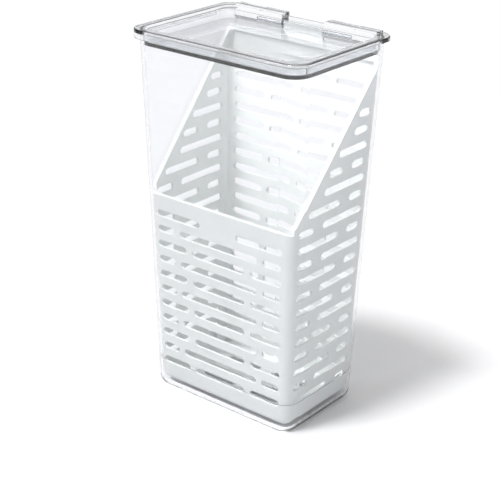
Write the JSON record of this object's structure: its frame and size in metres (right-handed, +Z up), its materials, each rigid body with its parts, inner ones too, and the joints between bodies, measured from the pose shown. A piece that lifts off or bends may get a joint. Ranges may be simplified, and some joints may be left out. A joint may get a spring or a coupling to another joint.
{
  "type": "herb keeper",
  "caption": "Tall clear storage tub with a slotted inner basket that lifts out by its rear tab and a clear recessed lid that hinges open at the rear.",
  "frame": {"origin": "centre of the overall box on the plane that the tub stands on", "axes": "+Z up, the tallest way; +Y to the rear, where the lid hinges; +X to the right as seen from the front"},
  "size_m": [0.1524, 0.1142, 0.287],
  "materials": {
    "clear_plastic": "clear polished, slightly grey at the edges",
    "white_plastic": "fine satin moulded",
    "pin_plastic": "smooth moulded"
  },
  "bodies": {
    "container": {"container_tub": "clear_plastic"},
    "basket": {"basket_front": "white_plastic", "basket_rear": "white_plastic", "pivot_pins": "white_plastic", "hinge_pins": "pin_plastic"},
    "lid": {"lid_shell": "clear_plastic"}
  },
  "joints": [
    {"name": "basket_lift", "type": "slide", "parent": "container", "child": "basket", "axis": [0, 0, 1], "range_m": [0, 0.285]},
    {"name": "lid_hinge", "type": "hinge", "parent": "basket", "child": "lid", "pos_m": [0, 0.053, 0.2792], "axis": [-1, 0, 0], "range_deg": [0, 105]}
  ]
}
